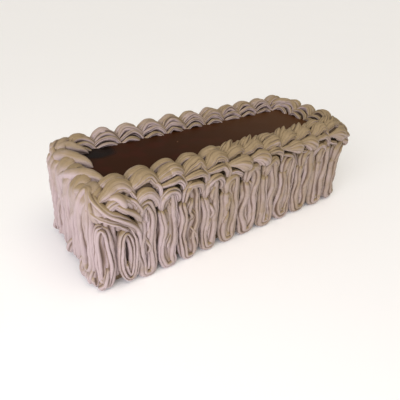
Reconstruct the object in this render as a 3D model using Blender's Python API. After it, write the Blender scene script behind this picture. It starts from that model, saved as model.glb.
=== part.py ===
"""Log cake in chocolate buttercream: a squared sponge roll, a glazed top, sides of piped
upright loops and a border of piped shells.

Metres, +Z up. The origin is the middle of the cake's flat underside, +X runs along the cake
and -Y is the side that faces the viewer.
"""

import math
import random

import bmesh
import bpy
from mathutils import Matrix, Vector

# The finished cake, over its piping.
LENGTH = 0.300
WIDTH = 0.118
HEIGHT = 0.0965

# Faceted solids that rest against each other keep this clearance.
GAP = 0.0003
# How far a cutter reaches past what it cuts.
SPARE = 0.04

# The squared sponge roll under its crumb coat, and the glaze poured on top of it.
PIPING_DEPTH = 0.0115
BODY_LENGTH = LENGTH - 2 * PIPING_DEPTH
BODY_WIDTH = WIDTH - 2 * PIPING_DEPTH
BODY_HEIGHT = 0.0815
BODY_CORNER = 0.009
GLAZE_TOP = 0.0845
CORNER_SEGMENTS = 5
EDGE_ROUNDING = 0.0012

# The piped loops that stand round the sides.
WALL_TOP = 0.0722
BACKING = 0.0030
BACKING_BITE = 0.0012
FRONT_LOOPS = 11
BACK_LOOPS = 11
END_LOOPS = 4
FRONT_LOOP_GROWTH = 0.75e-3
LOOP_OVERLAP = 0.0024
LOOP_FOOT = 0.0004
LOOP_TOP_RANGE = (0.0690, 0.0720)
LOOP_LEAN = math.radians(1.6)
CORNER_LOOP_WIDTH = 0.0270
RING_POINTS = 14
FLANK = 0.0045
# Each ring of a loop, from its outline to the slit in its middle: how far in, and how deep.
LOOP_RINGS = ((0.13, 0.90), (0.10, 1.00), (0.08, 0.83), (0.08, 0.95), (0.07, 0.52))

# The shells piped along the top edge.
FRONT_SHELLS = 13
BACK_SHELLS = 12
END_SHELLS = 3
SHELL_INSET = 0.0155
SHELL_HALF_WIDTH = 0.0152
SHELL_MID_HEIGHT = 0.0815
SHELL_OVERLAP = 1.36
SHELL_SIZE_RANGE = (0.95, 1.03)
SHELL_SWING = 0.07
SHELL_ROW_MARGIN = 0.0045
TAIL_SHARE = 0.62
HEAD_DROOP = 0.0035
GROOVE_SHARE = 0.88
SHELL_RIDGES = 7
SHELL_STEPS = 7

SEED = 11

CREAM = (0.43, 0.30, 0.26, 1.0)
BORDER_CREAM = (0.39, 0.28, 0.20, 1.0)
CRUMB_COAT = (0.36, 0.24, 0.19, 1.0)
CHOCOLATE = (0.045, 0.018, 0.008, 1.0)

FRONT, RIGHT, BACK, LEFT = (math.radians(a) for a in (0, 90, 180, -90))


def clear_scene():
    for obj in list(bpy.data.objects):
        bpy.data.objects.remove(obj, do_unlink=True)


def new_collection(name):
    collection = bpy.data.collections.new(name)
    bpy.context.scene.collection.children.link(collection)
    return collection


def make_material(name, colour, roughness):
    material = bpy.data.materials.new(name)
    material.use_nodes = True
    shader = material.node_tree.nodes["Principled BSDF"]
    shader.inputs["Base Color"].default_value = colour
    shader.inputs["Roughness"].default_value = roughness
    shader.inputs["Metallic"].default_value = 0.0
    return material


def object_from(name, bm, collection, material=None, place=None):
    """A named object with this bmesh's shape, moved to its place, with its scale left at one."""
    bmesh.ops.recalc_face_normals(bm, faces=bm.faces)
    if place is not None:
        bm.transform(place)
    mesh = bpy.data.meshes.new(name)
    bm.to_mesh(mesh)
    bm.free()
    if material is not None:
        mesh.materials.append(material)
    obj = bpy.data.objects.new(name, mesh)
    collection.objects.link(obj)
    return obj


def bake_modifiers(obj):
    """Gives the object the mesh that its modifiers make, and takes them off."""
    bpy.context.view_layer.update()
    graph = bpy.context.evaluated_depsgraph_get()
    finished = bpy.data.meshes.new_from_object(obj.evaluated_get(graph))
    obj.modifiers.clear()
    obj.data = finished


def fuse(base, strokes):
    """Joins a collection of piped strokes to the base by one union, and removes the strokes."""
    union = base.modifiers.new("fuse", "BOOLEAN")
    union.operation = "UNION"
    union.operand_type = "COLLECTION"
    union.collection = strokes
    bake_modifiers(base)
    for obj in list(strokes.objects):
        bpy.data.objects.remove(obj, do_unlink=True)
    bpy.data.collections.remove(strokes)


def carve(obj, cutter):
    """Cuts the cutter's shape out of the object. The cutter stays, as a guide that isn't rendered."""
    cut = obj.modifiers.new("carve", "BOOLEAN")
    cut.operation = "DIFFERENCE"
    cut.object = cutter
    bake_modifiers(obj)


def block(size, foot=0.0):
    """A box centred on Z, with its underside at the height of its foot."""
    bm = bmesh.new()
    bmesh.ops.create_cube(bm, size=1.0)
    bmesh.ops.scale(bm, vec=size, verts=bm.verts)
    bmesh.ops.translate(bm, vec=(0, 0, foot + size[2] / 2), verts=bm.verts)
    return bm


def upright_edges(bm):
    return [e for e in bm.edges if abs(e.verts[0].co.z - e.verts[1].co.z) > 1e-6]


def rounded_block(size, foot, corner, top_rounding):
    """A box with rounded upright corners and a softened top edge."""
    bm = block(size, foot)
    bmesh.ops.bevel(bm, geom=upright_edges(bm), offset=corner, segments=CORNER_SEGMENTS, profile=0.5,
                    affect="EDGES", material=-1)
    top = foot + size[2]
    rim = [e for e in bm.edges if all(abs(v.co.z - top) < 1e-6 for v in e.verts)]
    bmesh.ops.bevel(bm, geom=rim, offset=top_rounding, segments=1, profile=0.5, affect="EDGES", material=-1)
    return bm


def loop_solid(width, height):
    """One piped loop, seen from outside: an upright stadium whose strand runs up one side, over
    the top and down the other, with ridges that follow it and a slit in its middle."""
    bm = bmesh.new()
    half = width / 2
    disc = bmesh.ops.create_circle(bm, cap_ends=True, segments=RING_POINTS, radius=half)["verts"]
    bmesh.ops.transform(bm, matrix=Matrix.Rotation(math.pi / 2, 4, "X"), verts=disc)
    bmesh.ops.translate(bm, vec=(0, -BACKING_BITE, half), verts=disc)
    upper = [v for v in disc if v.co.z > half]
    bmesh.ops.translate(bm, vec=(0, 0, height - width), verts=upper)
    raised = bmesh.ops.extrude_face_region(bm, geom=list(bm.faces))["geom"]
    front = next(g for g in raised if isinstance(g, bmesh.types.BMFace))
    bmesh.ops.translate(bm, vec=(0, BACKING_BITE - FLANK, 0), verts=front.verts)
    bmesh.ops.recalc_face_normals(bm, faces=bm.faces)
    depth = FLANK
    for inset, share in LOOP_RINGS:
        rise = share * PIPING_DEPTH - depth
        bmesh.ops.inset_individual(bm, faces=[front], thickness=inset * width, depth=rise, use_even_offset=True)
        depth += rise
    return bm


def star_point(point, length, half_width, half_height, ridges):
    """Moves a point of a unit ball, whose poles are the tail (-X) and the head (+X), to where it
    lies on a piped shell: ridged round its axis, narrow at the tail and full at the head."""
    along, across, up = point
    turn = math.atan2(up, across)
    on_ridge = 0.5 + 0.5 * math.cos(ridges * (turn - math.pi / 2))
    fullness = TAIL_SHARE + (1 - TAIL_SHARE) * min(1.0, max(0.0, along + 1)) ** 1.2
    barrel = math.sqrt(max(0.0, 1 - abs(along) ** 2.5))
    reach = barrel * fullness * (GROOVE_SHARE + (1 - GROOVE_SHARE) * on_ridge)
    droop = HEAD_DROOP * max(along, 0) ** 2
    width = half_width * reach * math.cos(turn)
    height = half_height * reach * math.sin(turn) - droop
    return Vector((along * length / 2, width, height))


def shell_solid(length, half_width, half_height):
    """One piped shell along X, head towards +X, centred on the origin."""
    bm = bmesh.new()
    bmesh.ops.create_uvsphere(bm, u_segments=2 * SHELL_RIDGES, v_segments=SHELL_STEPS, radius=1.0)
    lay_down = Matrix.Rotation(math.pi / 2, 4, "Y")
    bmesh.ops.transform(bm, matrix=lay_down, verts=bm.verts)
    for vert in bm.verts:
        vert.co = star_point(vert.co, length, half_width, half_height, SHELL_RIDGES)
    return bm


def side_frame(angle, along, out):
    """The place of a stroke on a side: its local X runs to the right as seen from outside and its
    local -Y points outwards. Angle 0 is the front."""
    return Matrix.Rotation(angle, 4, "Z") @ Matrix.Translation((along, -out, 0))


def loop_widths(count, run, growth):
    """Widths of a row of loops that fill a run, each wider than the last by the growth."""
    first = run / count - growth * (count - 1) / 2
    return [first + growth * k for k in range(count)]


def loop_row(draw, angle, count, growth=0.0):
    """(place, width, height) of each loop along one straight side."""
    long_side = angle in (FRONT, BACK)
    run = (BODY_LENGTH if long_side else BODY_WIDTH) - 2 * BODY_CORNER
    out = (BODY_WIDTH if long_side else BODY_LENGTH) / 2 + GAP
    edge = -run / 2
    row = []
    for width in loop_widths(count, run, growth):
        height = draw.uniform(*LOOP_TOP_RANGE) - LOOP_FOOT
        lean = Matrix.Rotation(draw.uniform(-LOOP_LEAN, LOOP_LEAN), 4, "Y")
        place = side_frame(angle, edge + width / 2, out) @ Matrix.Translation((0, 0, LOOP_FOOT)) @ lean
        row.append((place, width + LOOP_OVERLAP, height))
        edge += width
    return row


def corner_place(sign_x, sign_y):
    """The place of the loop that stands across a corner of the cake."""
    centre = Vector((sign_x * (BODY_LENGTH / 2 - BODY_CORNER), sign_y * (BODY_WIDTH / 2 - BODY_CORNER), 0))
    facing = math.atan2(sign_y, sign_x) + math.pi / 2
    return Matrix.Translation(centre) @ side_frame(facing, 0, BODY_CORNER + GAP)


def corner_loops(draw, sign_y):
    """The two corner loops of the front or back row."""
    found = []
    for sign_x in (-1, 1):
        height = draw.uniform(*LOOP_TOP_RANGE) - LOOP_FOOT
        place = corner_place(sign_x, sign_y) @ Matrix.Translation((0, 0, LOOP_FOOT))
        found.append((place, CORNER_LOOP_WIDTH, height))
    return found


def backing_solid(angle):
    """The smear of cream behind a row of loops, which ties them together."""
    long_side = angle in (FRONT, BACK)
    run = (BODY_LENGTH if long_side else BODY_WIDTH) - 2 * BODY_CORNER
    out = (BODY_WIDTH if long_side else BODY_LENGTH) / 2 + GAP
    bm = block((run - 2 * GAP, BACKING, WALL_TOP))
    bm.transform(side_frame(angle, 0, out + BACKING / 2))
    return bm


def pipe_side(name, angle, loops, material, collection):
    """One side's piping: its loops fused to the cream behind them."""
    side = object_from(name, backing_solid(angle), collection, material)
    strokes = new_collection(name + "_strokes")
    for k, (place, width, height) in enumerate(loops):
        object_from(f"{name}_loop_{k}", loop_solid(width, height), strokes, None, place)
    fuse(side, strokes)
    return side


def cutter_from(name, bm, cutters, place=None):
    cutter = object_from(name, bm, cutters, None, place)
    cutter.hide_render = True
    cutter.display_type = "WIRE"
    return cutter


def corner_cutter(sign_x, sign_y, cutters):
    """Clears an end row's cream from a corner loop."""
    size = (CORNER_LOOP_WIDTH + 2 * GAP, 2 * PIPING_DEPTH, 2 * HEIGHT)
    inner_face = GAP + BACKING_BITE / 2
    place = corner_place(sign_x, sign_y) @ Matrix.Translation((0, inner_face - PIPING_DEPTH, -HEIGHT / 2))
    return cutter_from("corner_cutter", block(size), cutters, place)


def shell_row(draw, angle, count, head):
    """(place, length, half width, half height) of each shell along one side of the border."""
    long_side = angle in (FRONT, BACK)
    side_run, side_out = (LENGTH, WIDTH) if long_side else (WIDTH, LENGTH)
    run = side_run - 2 * (SHELL_ROW_MARGIN if long_side else SHELL_INSET + SHELL_HALF_WIDTH)
    pitch = run / count
    full_height = HEIGHT - SHELL_MID_HEIGHT
    row = []
    for k in range(count):
        size = draw.uniform(*SHELL_SIZE_RANGE)
        swing = Matrix.Rotation(draw.uniform(-SHELL_SWING, SHELL_SWING), 4, "Z")
        place = side_frame(angle, -run / 2 + pitch * (k + 0.5), side_out / 2 - SHELL_INSET)
        place = place @ Matrix.Translation((0, 0, SHELL_MID_HEIGHT)) @ swing
        if head < 0:
            place = place @ Matrix.Rotation(math.pi, 4, "Z")
        row.append((place, pitch * SHELL_OVERLAP, SHELL_HALF_WIDTH * size, full_height * size))
    return row


def pipe_border(name, shells, bed, material, collection):
    """One side's row of shells, fused together and cut to fit what it beds against."""
    first, rest = shells[0], shells[1:]
    row = object_from(name, shell_solid(*first[1:]), collection, material, first[0])
    strokes = new_collection(name + "_strokes")
    for k, (place, *size) in enumerate(rest):
        object_from(f"{name}_shell_{k}", shell_solid(*size), strokes, None, place)
    fuse(row, strokes)
    for cutter in bed:
        carve(row, cutter)
    return row


def seat_cutters(cutters):
    """What every row beds on: the glazed cake in the middle and the piped sides round it."""
    cake = (BODY_LENGTH + 2 * GAP, BODY_WIDTH + 2 * GAP, GLAZE_TOP + GAP + HEIGHT)
    sides = (LENGTH + SPARE, WIDTH + SPARE, WALL_TOP + GAP + HEIGHT)
    return [cutter_from("seat_of_cake", block(cake, -HEIGHT), cutters),
            cutter_from("seat_of_sides", block(sides, -HEIGHT), cutters)]


def row_cutters(cutters):
    """The room of the two long rows, which the end rows stop at."""
    depth = SHELL_INSET + SHELL_HALF_WIDTH + GAP
    size = (LENGTH + SPARE, depth + SPARE, 2 * HEIGHT)
    along_y = WIDTH / 2 - depth + size[1] / 2
    return [cutter_from(f"row_{side}", block(size), cutters, Matrix.Translation((0, side_y * along_y, 0)))
            for side, side_y in (("front", -1), ("back", 1))]


def main():
    clear_scene()
    cake = new_collection("iced_log_cake")
    cutters = new_collection("cutters")
    cream = make_material("buttercream", CREAM, 0.55)
    border_cream = make_material("border_cream", BORDER_CREAM, 0.55)
    coat = make_material("crumb_coat", CRUMB_COAT, 0.7)
    chocolate = make_material("chocolate_glaze", CHOCOLATE, 0.22)
    draw = random.Random(SEED)

    body = rounded_block((BODY_LENGTH, BODY_WIDTH, BODY_HEIGHT), 0.0, BODY_CORNER, EDGE_ROUNDING)
    object_from("cake_body", body, cake, coat)
    glaze_size = (BODY_LENGTH, BODY_WIDTH, GLAZE_TOP - BODY_HEIGHT - GAP)
    glaze = rounded_block(glaze_size, BODY_HEIGHT + GAP, BODY_CORNER, EDGE_ROUNDING)
    object_from("chocolate_glaze", glaze, cake, chocolate)

    front_loops = loop_row(draw, FRONT, FRONT_LOOPS, FRONT_LOOP_GROWTH) + corner_loops(draw, -1)
    back_loops = loop_row(draw, BACK, BACK_LOOPS) + corner_loops(draw, 1)
    pipe_side("piping_front", FRONT, front_loops, cream, cake)
    pipe_side("piping_back", BACK, back_loops, cream, cake)
    for name, angle, sign_x in (("piping_left", LEFT, -1), ("piping_right", RIGHT, 1)):
        side = pipe_side(name, angle, loop_row(draw, angle, END_LOOPS), cream, cake)
        for sign_y in (-1, 1):
            carve(side, corner_cutter(sign_x, sign_y, cutters))

    seat = seat_cutters(cutters)
    stops = seat + row_cutters(cutters)
    rows = (
        ("border_front", FRONT, FRONT_SHELLS, 1, seat),
        ("border_back", BACK, BACK_SHELLS, -1, seat),
        ("border_left", LEFT, END_SHELLS, 1, stops),
        ("border_right", RIGHT, END_SHELLS, -1, stops),
    )
    for name, angle, count, head, bed in rows:
        pipe_border(name, shell_row(draw, angle, count, head), bed, border_cream, cake)


main()
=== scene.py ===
"""Iced roll cake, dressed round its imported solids: sides piped in upright loops, a border of
piped shells, a glossy chocolate glaze on top and the table that the cake stands on.

Metres, +Z up. The front side faces -Y, the cake runs along X and stands on z = 0.
"""

import math
import random

import bmesh
import bpy
import numpy as np
from bpy.props import FloatProperty, FloatVectorProperty, IntProperty, PointerProperty
from mathutils import Matrix, Vector, noise


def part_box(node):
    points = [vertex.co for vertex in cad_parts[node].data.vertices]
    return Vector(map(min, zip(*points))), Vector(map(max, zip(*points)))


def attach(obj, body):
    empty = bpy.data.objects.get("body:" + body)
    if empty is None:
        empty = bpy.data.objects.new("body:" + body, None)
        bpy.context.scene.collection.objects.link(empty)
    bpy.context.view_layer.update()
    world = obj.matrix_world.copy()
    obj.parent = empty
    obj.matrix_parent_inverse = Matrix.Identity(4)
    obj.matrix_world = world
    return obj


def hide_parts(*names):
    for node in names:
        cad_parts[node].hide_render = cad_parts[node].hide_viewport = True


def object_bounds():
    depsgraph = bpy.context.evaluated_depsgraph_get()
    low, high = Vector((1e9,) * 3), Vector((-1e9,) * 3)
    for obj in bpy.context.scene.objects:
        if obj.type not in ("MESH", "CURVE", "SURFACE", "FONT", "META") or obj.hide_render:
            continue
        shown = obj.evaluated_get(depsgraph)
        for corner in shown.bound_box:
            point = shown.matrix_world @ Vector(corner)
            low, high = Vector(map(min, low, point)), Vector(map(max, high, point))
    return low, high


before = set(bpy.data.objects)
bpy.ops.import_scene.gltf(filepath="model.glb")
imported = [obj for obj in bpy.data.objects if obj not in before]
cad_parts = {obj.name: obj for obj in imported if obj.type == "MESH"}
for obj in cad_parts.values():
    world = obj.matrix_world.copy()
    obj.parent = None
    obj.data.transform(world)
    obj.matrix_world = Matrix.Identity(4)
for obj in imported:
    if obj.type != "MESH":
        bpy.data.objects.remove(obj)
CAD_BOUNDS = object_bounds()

bl_info = {
    "name": "Iced Roll Cake",
    "version": (1, 0, 0),
    "blender": (4, 5, 0),
    "location": "3D View > Sidebar > Cake",
    "description": "Pipes and glazes an iced roll cake round its solid core",
    "category": "Add Mesh",
}

MM = 0.001

# The core and the glaze, from the frame.
CORE_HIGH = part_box("cake_body")[1]
GLAZE_LOW, GLAZE_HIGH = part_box("chocolate_glaze")
HALF_LENGTH, HALF_WIDTH = CORE_HIGH.x, CORE_HIGH.y
CREST_HEIGHT = CAD_BOUNDS[1].z
CORE_CORNER = 9 * MM

FRONT, RIGHT, BACK, LEFT = "front", "right", "back", "left"
SIDE_TURNS = {FRONT: 0, RIGHT: 90, BACK: 180, LEFT: -90}


class CreamSettings(bpy.types.PropertyGroup):
    ridges: IntProperty(name="Tip teeth", description="Ridges round a piped strand", default=6, min=4)
    ridge_depth: FloatProperty(
        name="Ridge depth", description="Depth of the grooves, as a share of the strand's radius",
        default=0.35, subtype="FACTOR", min=0, max=1)
    strand_depth: FloatProperty(
        name="Strand depth", description="Half thickness of a strand, out from the wall",
        default=5.9 * MM, unit="LENGTH")
    loop_top: FloatProperty(
        name="Loop top", description="Height of the tops of the side loops", default=75.5 * MM, unit="LENGTH")
    first_loop: FloatProperty(
        name="First loop", description="Width of the first loop at the front's left end",
        default=19.4 * MM, unit="LENGTH")
    front_start: FloatProperty(
        name="Front start", description="Where the front's first loop starts, along the cake",
        default=-135.4 * MM, unit="LENGTH")
    front_end: FloatProperty(
        name="Front end", description="Where the front's last loop ends, along the cake",
        default=121.3 * MM, unit="LENGTH")
    step: FloatProperty(
        name="Step", description="Length of one facet along a strand", default=1.15 * MM, unit="LENGTH")
    wobble: FloatProperty(
        name="Wobble", description="How far the hand strays from a true line", default=1.7 * MM,
        unit="LENGTH")
    colour: FloatVectorProperty(
        name="Cream", description="Colour of the cream on the sides", subtype="COLOR", size=3,
        default=(0.438, 0.345, 0.342))
    # Painted shade: the colour painted deep between the ridges of a strand, where shade falls.
    groove_shade_colour: FloatVectorProperty(
        name="Grooves", description="Colour of the cream deep between its ridges", subtype="COLOR", size=3,
        default=(0.135, 0.078, 0.043))
    # Painted light: the tan painted where warm light falls from above, towards the top, and where the light
    # falls off towards the right; it also carries the random tone of the strokes.
    tan_light_and_tone_colour: FloatVectorProperty(
        name="Upper cream", description="Warmer colour that the cream takes towards the top",
        subtype="COLOR", size=3, default=(0.262, 0.187, 0.098))
    # Painted shade: the colour painted deep between the ridges of a shell, where shade falls.
    hollow_shade_colour: FloatVectorProperty(
        name="Hollows", description="Colour deep between the ridges of a shell", subtype="COLOR", size=3,
        default=(0.045, 0.022, 0.009))


class BorderSettings(bpy.types.PropertyGroup):
    ridges: IntProperty(name="Tip teeth", description="Ridges round a shell", default=9, min=6)
    ridge_depth: FloatProperty(
        name="Ridge depth", description="Depth of the grooves, as a share of the shell's radius",
        default=0.4, subtype="FACTOR", min=0, max=1)
    inset: FloatProperty(
        name="Crest inset", description="Distance of the crests from the outer face of the piping",
        default=15.5 * MM, unit="LENGTH")
    front_first: FloatProperty(
        name="First front shell", description="Where the front row's first crest stands", default=-125 * MM,
        unit="LENGTH")
    front_pitch: FloatProperty(
        name="Front pitch", description="Distance between the front row's crests", default=22.4 * MM,
        unit="LENGTH")
    back_first: FloatProperty(
        name="First back shell", description="Where the back row's first crest stands", default=-120 * MM,
        unit="LENGTH")
    back_pitch: FloatProperty(
        name="Back pitch", description="Distance between the back row's crests", default=24.6 * MM,
        unit="LENGTH")


class GlazeSettings(bpy.types.PropertyGroup):
    colour: FloatVectorProperty(
        name="Chocolate", description="Colour of the glaze", subtype="COLOR", size=3,
        default=(0.031, 0.0095, 0.0025))
    # Painted sheen: the colour that the glaze is painted towards the right, lighter and warmer.
    sheen_colour: FloatVectorProperty(
        name="Thin chocolate", description="Colour where the glaze is thin", subtype="COLOR", size=3,
        default=(0.066, 0.027, 0.0085))
    blush_colour: FloatVectorProperty(
        name="Red chocolate", description="Colour of the redder patches", subtype="COLOR", size=3,
        default=(0.046, 0.0095, 0.004))
    pool_colour: FloatVectorProperty(
        name="Pooled chocolate", description="Colour of the thick pool in a corner", subtype="COLOR", size=3,
        default=(0.008, 0.005, 0.004))
    fleck_colour: FloatVectorProperty(
        name="Pale fleck", description="Colour of the fleck on the glaze", subtype="COLOR", size=3,
        default=(0.3, 0.16, 0.1))
    roughness: FloatProperty(
        name="Roughness", description="Roughness of the glaze", default=0.28, subtype="FACTOR", min=0, max=1)
    wave: FloatProperty(
        name="Wave", description="How far the poured surface rises and falls", default=0.35 * MM,
        unit="LENGTH")


class StageSettings(bpy.types.PropertyGroup):
    azimuth: FloatProperty(
        name="Azimuth", description="Direction that the camera looks from, round Z",
        default=math.radians(-36.87), subtype="ANGLE")
    elevation: FloatProperty(
        name="Elevation", description="Height of the camera's direction above the table",
        default=math.radians(31.12), subtype="ANGLE")
    roll: FloatProperty(
        name="Roll", description="Turn of the camera about its own axis", default=math.radians(2.44),
        subtype="ANGLE")
    place: FloatVectorProperty(
        name="Camera", description="Where the camera stands", subtype="TRANSLATION", unit="LENGTH", size=3,
        default=(-0.2169, -0.2767, 0.2251))
    lens: FloatProperty(name="Lens", description="Focal length in millimetres", default=33.98, min=1)
    shift: FloatVectorProperty(
        name="Shift", description="Shift of the lens, as a share of the picture", size=2,
        default=(-0.0038, -0.0035))
    floor_colour: FloatVectorProperty(
        name="Table", description="Colour of the table", subtype="COLOR", size=3, default=(0.96, 0.96, 0.96))
    daylight: FloatProperty(
        name="Daylight", description="Strength of the light from the window", default=1.7, min=0)
    near_light: FloatProperty(
        name="Near light", description="Power of the soft light close to the near corner, in watts",
        default=1.6, min=0)
    ceiling: FloatProperty(
        name="Ceiling", description="Strength of the warm light from above", default=1.1, min=0)
    haze: FloatProperty(
        name="Room light", description="Strength of the light from all round", default=0.38, min=0)


# Strands of cream.


class Section:
    """The cross-section of one piped strand. A hand-held bag leaves uneven teeth, so each ridge has
    its own width and each groove its own depth. The back, which isn't seen, has fewer points."""

    # Spans that the ridges' widths and the grooves' depths are drawn from, as shares of the usual.
    WIDTHS = (0.72, 1.3)
    DEPTHS = (0.55, 1.35)
    # Spans of a ridge's lean: below 1 it leans one way, above 1 the other.
    LEANS = ((0.5, 0.8), (0.9, 1.1), (1.3, 1.9))
    # Ridges whose middle has a lower sine than this are on the back.
    BACK_SINE = -0.45
    # How far the points of a ridge draw together at its grooves, as a share of its width.
    GATHER = 0.07
    # How much the grooves' depths swell along the strand.
    SWELL = 0.3

    def __init__(self, teeth, depth, draw, samples=6, back_samples=3):
        widths = np.array([draw.uniform(*self.WIDTHS) for _ in range(teeth)])
        widths *= 2 * math.pi / widths.sum()
        starts = math.pi / 2 - widths[0] * draw.uniform(0.2, 0.8) + np.concatenate([[0], np.cumsum(widths)])
        self.depths = np.array([depth * draw.uniform(*self.DEPTHS) for _ in range(teeth)])
        self.waves = [(draw.uniform(4, 9) * MM, draw.uniform(0, 6)) for _ in range(teeth)]
        angles, valley, groove, teeth_of = [], [], [], []
        for tooth in range(teeth):
            middle = starts[tooth] + widths[tooth] / 2
            count = samples if math.sin(middle) > self.BACK_SINE else back_samples
            lean = draw.choice([draw.uniform(*span) for span in self.LEANS])
            for k in range(count):
                share = k / count - self.GATHER * math.sin(2 * math.pi * k / count)
                angles.append(starts[tooth] + widths[tooth] * share)
                valley.append(1 - math.sin(math.pi * share**lean) ** 0.5)
                groove.append(tooth if share < 0.5 else (tooth + 1) % teeth)
                teeth_of.append(tooth)
        self.shades = np.array([draw.random() for _ in range(teeth)])
        self.tooth = np.array(teeth_of)
        self.angles = np.array(angles)
        self.valley = np.array(valley)
        self.groove = np.array(groove)

    def grooves(self, length):
        """How deep each point lies below the ridges, for rings at these lengths along the strand."""
        swell = np.stack([1 + self.SWELL * np.sin(length / wave + phase) for wave, phase in self.waves], 1)
        return self.valley[None, :] * (self.depths * swell)[:, self.groove]


# Points that each stretch of a smooth curve is worked out at, and the fewest rings of a strand.
CURVE_POINTS = 12
FEWEST_RINGS = 8


def smooth_run(controls, step):
    """Rows a step apart on a smooth curve through the controls. The first three columns are the
    place, and the others follow along."""
    points = np.asarray(controls, float)
    ends = np.vstack([2 * points[0] - points[1], points, 2 * points[-1] - points[-2]])
    t = np.linspace(0, 1, CURVE_POINTS, endpoint=False)[:, None]
    fine = []
    for a, b, c, d in zip(ends, ends[1:], ends[2:], ends[3:]):
        cubic = 2 * b + (c - a) * t + (2 * a - 5 * b + 4 * c - d) * t**2 + (3 * b - a - 3 * c + d) * t**3
        fine.append(cubic / 2)
    fine = np.vstack([*fine, points[-1:]])
    length = run_length(fine[:, :3])
    even = np.linspace(0, length[-1], max(FEWEST_RINGS, round(length[-1] / step)))
    return np.stack([np.interp(even, length, column) for column in fine.T], 1)


def run_length(places):
    return np.concatenate([[0], np.cumsum(np.linalg.norm(np.diff(places, axis=0), axis=1))])


def unit(vectors):
    return vectors / np.maximum(np.linalg.norm(vectors, axis=1, keepdims=True), 1e-12)


def rounding(length, start, end):
    """How full a strand is along its length: 0 at the very tips, 1 past each end's rounding."""
    from_start = np.clip(length / start, 0, 1)
    from_end = np.clip((length[-1] - length) / end, 0, 1)
    return np.sqrt(1 - (1 - from_start) ** 2) * np.sqrt(1 - (1 - from_end) ** 2)


# How a strand varies along its length: by which share or angle, and over which lengths in mm.
CRIMPS = (0.02, (0.9, 1.5))
BULGES = (0.035, (2.6, 5.0))
ROLLS = (0.22, (5, 9))
MOST_LEAN = 0.15


def ripple(length, size, span, draw):
    """A wave along a strand, of this size and of a length from the span."""
    return size * np.sin(length / draw.uniform(*span) / MM + draw.uniform(0, 6))


def add_strand(bm, places, guide, half_width, half_depth, section, ends, draw, twist=0.0, shadow=0.0):
    """Adds a strand of cream along the places. The guide says which way its ridged face looks, the
    halves are its size across and towards the guide, and the ends are how long each takes to close.
    The twist turns it from end to end, and the shadow darkens all of it like a groove."""
    tangent = unit(np.gradient(places, axis=0))
    across = unit(np.cross(tangent, guide))
    out = np.cross(across, tangent)
    length = run_length(places)
    full = rounding(length, *ends)
    full *= 1 + ripple(length, *CRIMPS, draw)
    full *= 1 + ripple(length, *BULGES, draw)
    depth = section.grooves(length)
    lean = draw.uniform(-MOST_LEAN, MOST_LEAN) + twist * np.linspace(-0.5, 0.5, len(places))
    lean += ripple(length, *ROLLS, draw)
    angle = section.angles[None, :] + lean[:, None]
    reach = (1 - depth) * full[:, None]
    wide = (reach * np.cos(angle) * half_width[:, None])[:, :, None]
    deep = (reach * np.sin(angle) * half_depth[:, None])[:, :, None]
    surface = places[:, None, :] + wide * across[:, None, :] + deep * out[:, None, :]
    # The groove mark holds the depth of the grooves plus the shadow; the finish paints shade from it.
    knit(bm, surface, {
        "groove": depth + shadow,
        "stroke": np.broadcast_to(section.shades[section.tooth], depth.shape),
        "around": np.broadcast_to(section.angles * half_width.max(), depth.shape),
        "run": np.broadcast_to(length[:, None], depth.shape),
    })


# The cream's fine unevenness: how far it stands in or out, and the size of its lumps. Points
# closer than the last number become one.
LUMP_DEPTH = 0.4 * MM
LUMP_SIZE = 6 * MM
MERGE_DISTANCE = 1e-7

# Without a seed, Blender takes a new one from the clock for noise vectors.
NOISE_SEED = 1


def knit(bm, surface, marks):
    """Adds the rings of a strand as a closed skin: a grid whose vertices go to their places, none
    below the table, and take their marks, and whose seam and tips are then merged."""
    layers = [(bm.verts.layers.float[name], values) for name, values in marks.items()]
    rings, around = surface.shape[0] - 1, surface.shape[1]
    grid = bmesh.ops.create_grid(bm, x_segments=rings, y_segments=around, size=0.5)["verts"]
    for vert in grid:
        ring = round((vert.co.x + 0.5) * rings)
        point = round((vert.co.y + 0.5) * around) % around
        for layer, values in layers:
            vert[layer] = values[ring, point]
        vert.co = surface[ring, point]
        vert.co += LUMP_DEPTH * noise.noise_vector(vert.co / LUMP_SIZE)
        vert.co.z = max(vert.co.z, 0.0)
    bmesh.ops.remove_doubles(bm, verts=grid, dist=MERGE_DISTANCE)


def new_cream():
    """An empty bmesh with the marks that the cream's finish reads, and the noise started afresh."""
    noise.seed_set(NOISE_SEED)
    bm = bmesh.new()
    for name in ("groove", "stroke", "around", "run"):
        bm.verts.layers.float.new(name)
    return bm


def finish_piece(name, bm, material, slot, *replaced):
    """Makes the bmesh a smooth-shaded object of the cake, hangs it under the root and hides the parts that it
    replaces.
    """
    bmesh.ops.recalc_face_normals(bm, faces=bm.faces)
    mesh = bpy.data.meshes.new(name)
    bm.to_mesh(mesh)
    bm.free()
    if not mesh.polygons:
        raise RuntimeError(f"{name} came out empty")
    mesh.shade_smooth()
    mesh.materials.append(material)
    piece = bpy.data.objects.new(name, mesh)
    bpy.context.scene.collection.objects.link(piece)
    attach(piece, "root")
    if replaced:
        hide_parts(*replaced)


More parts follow.
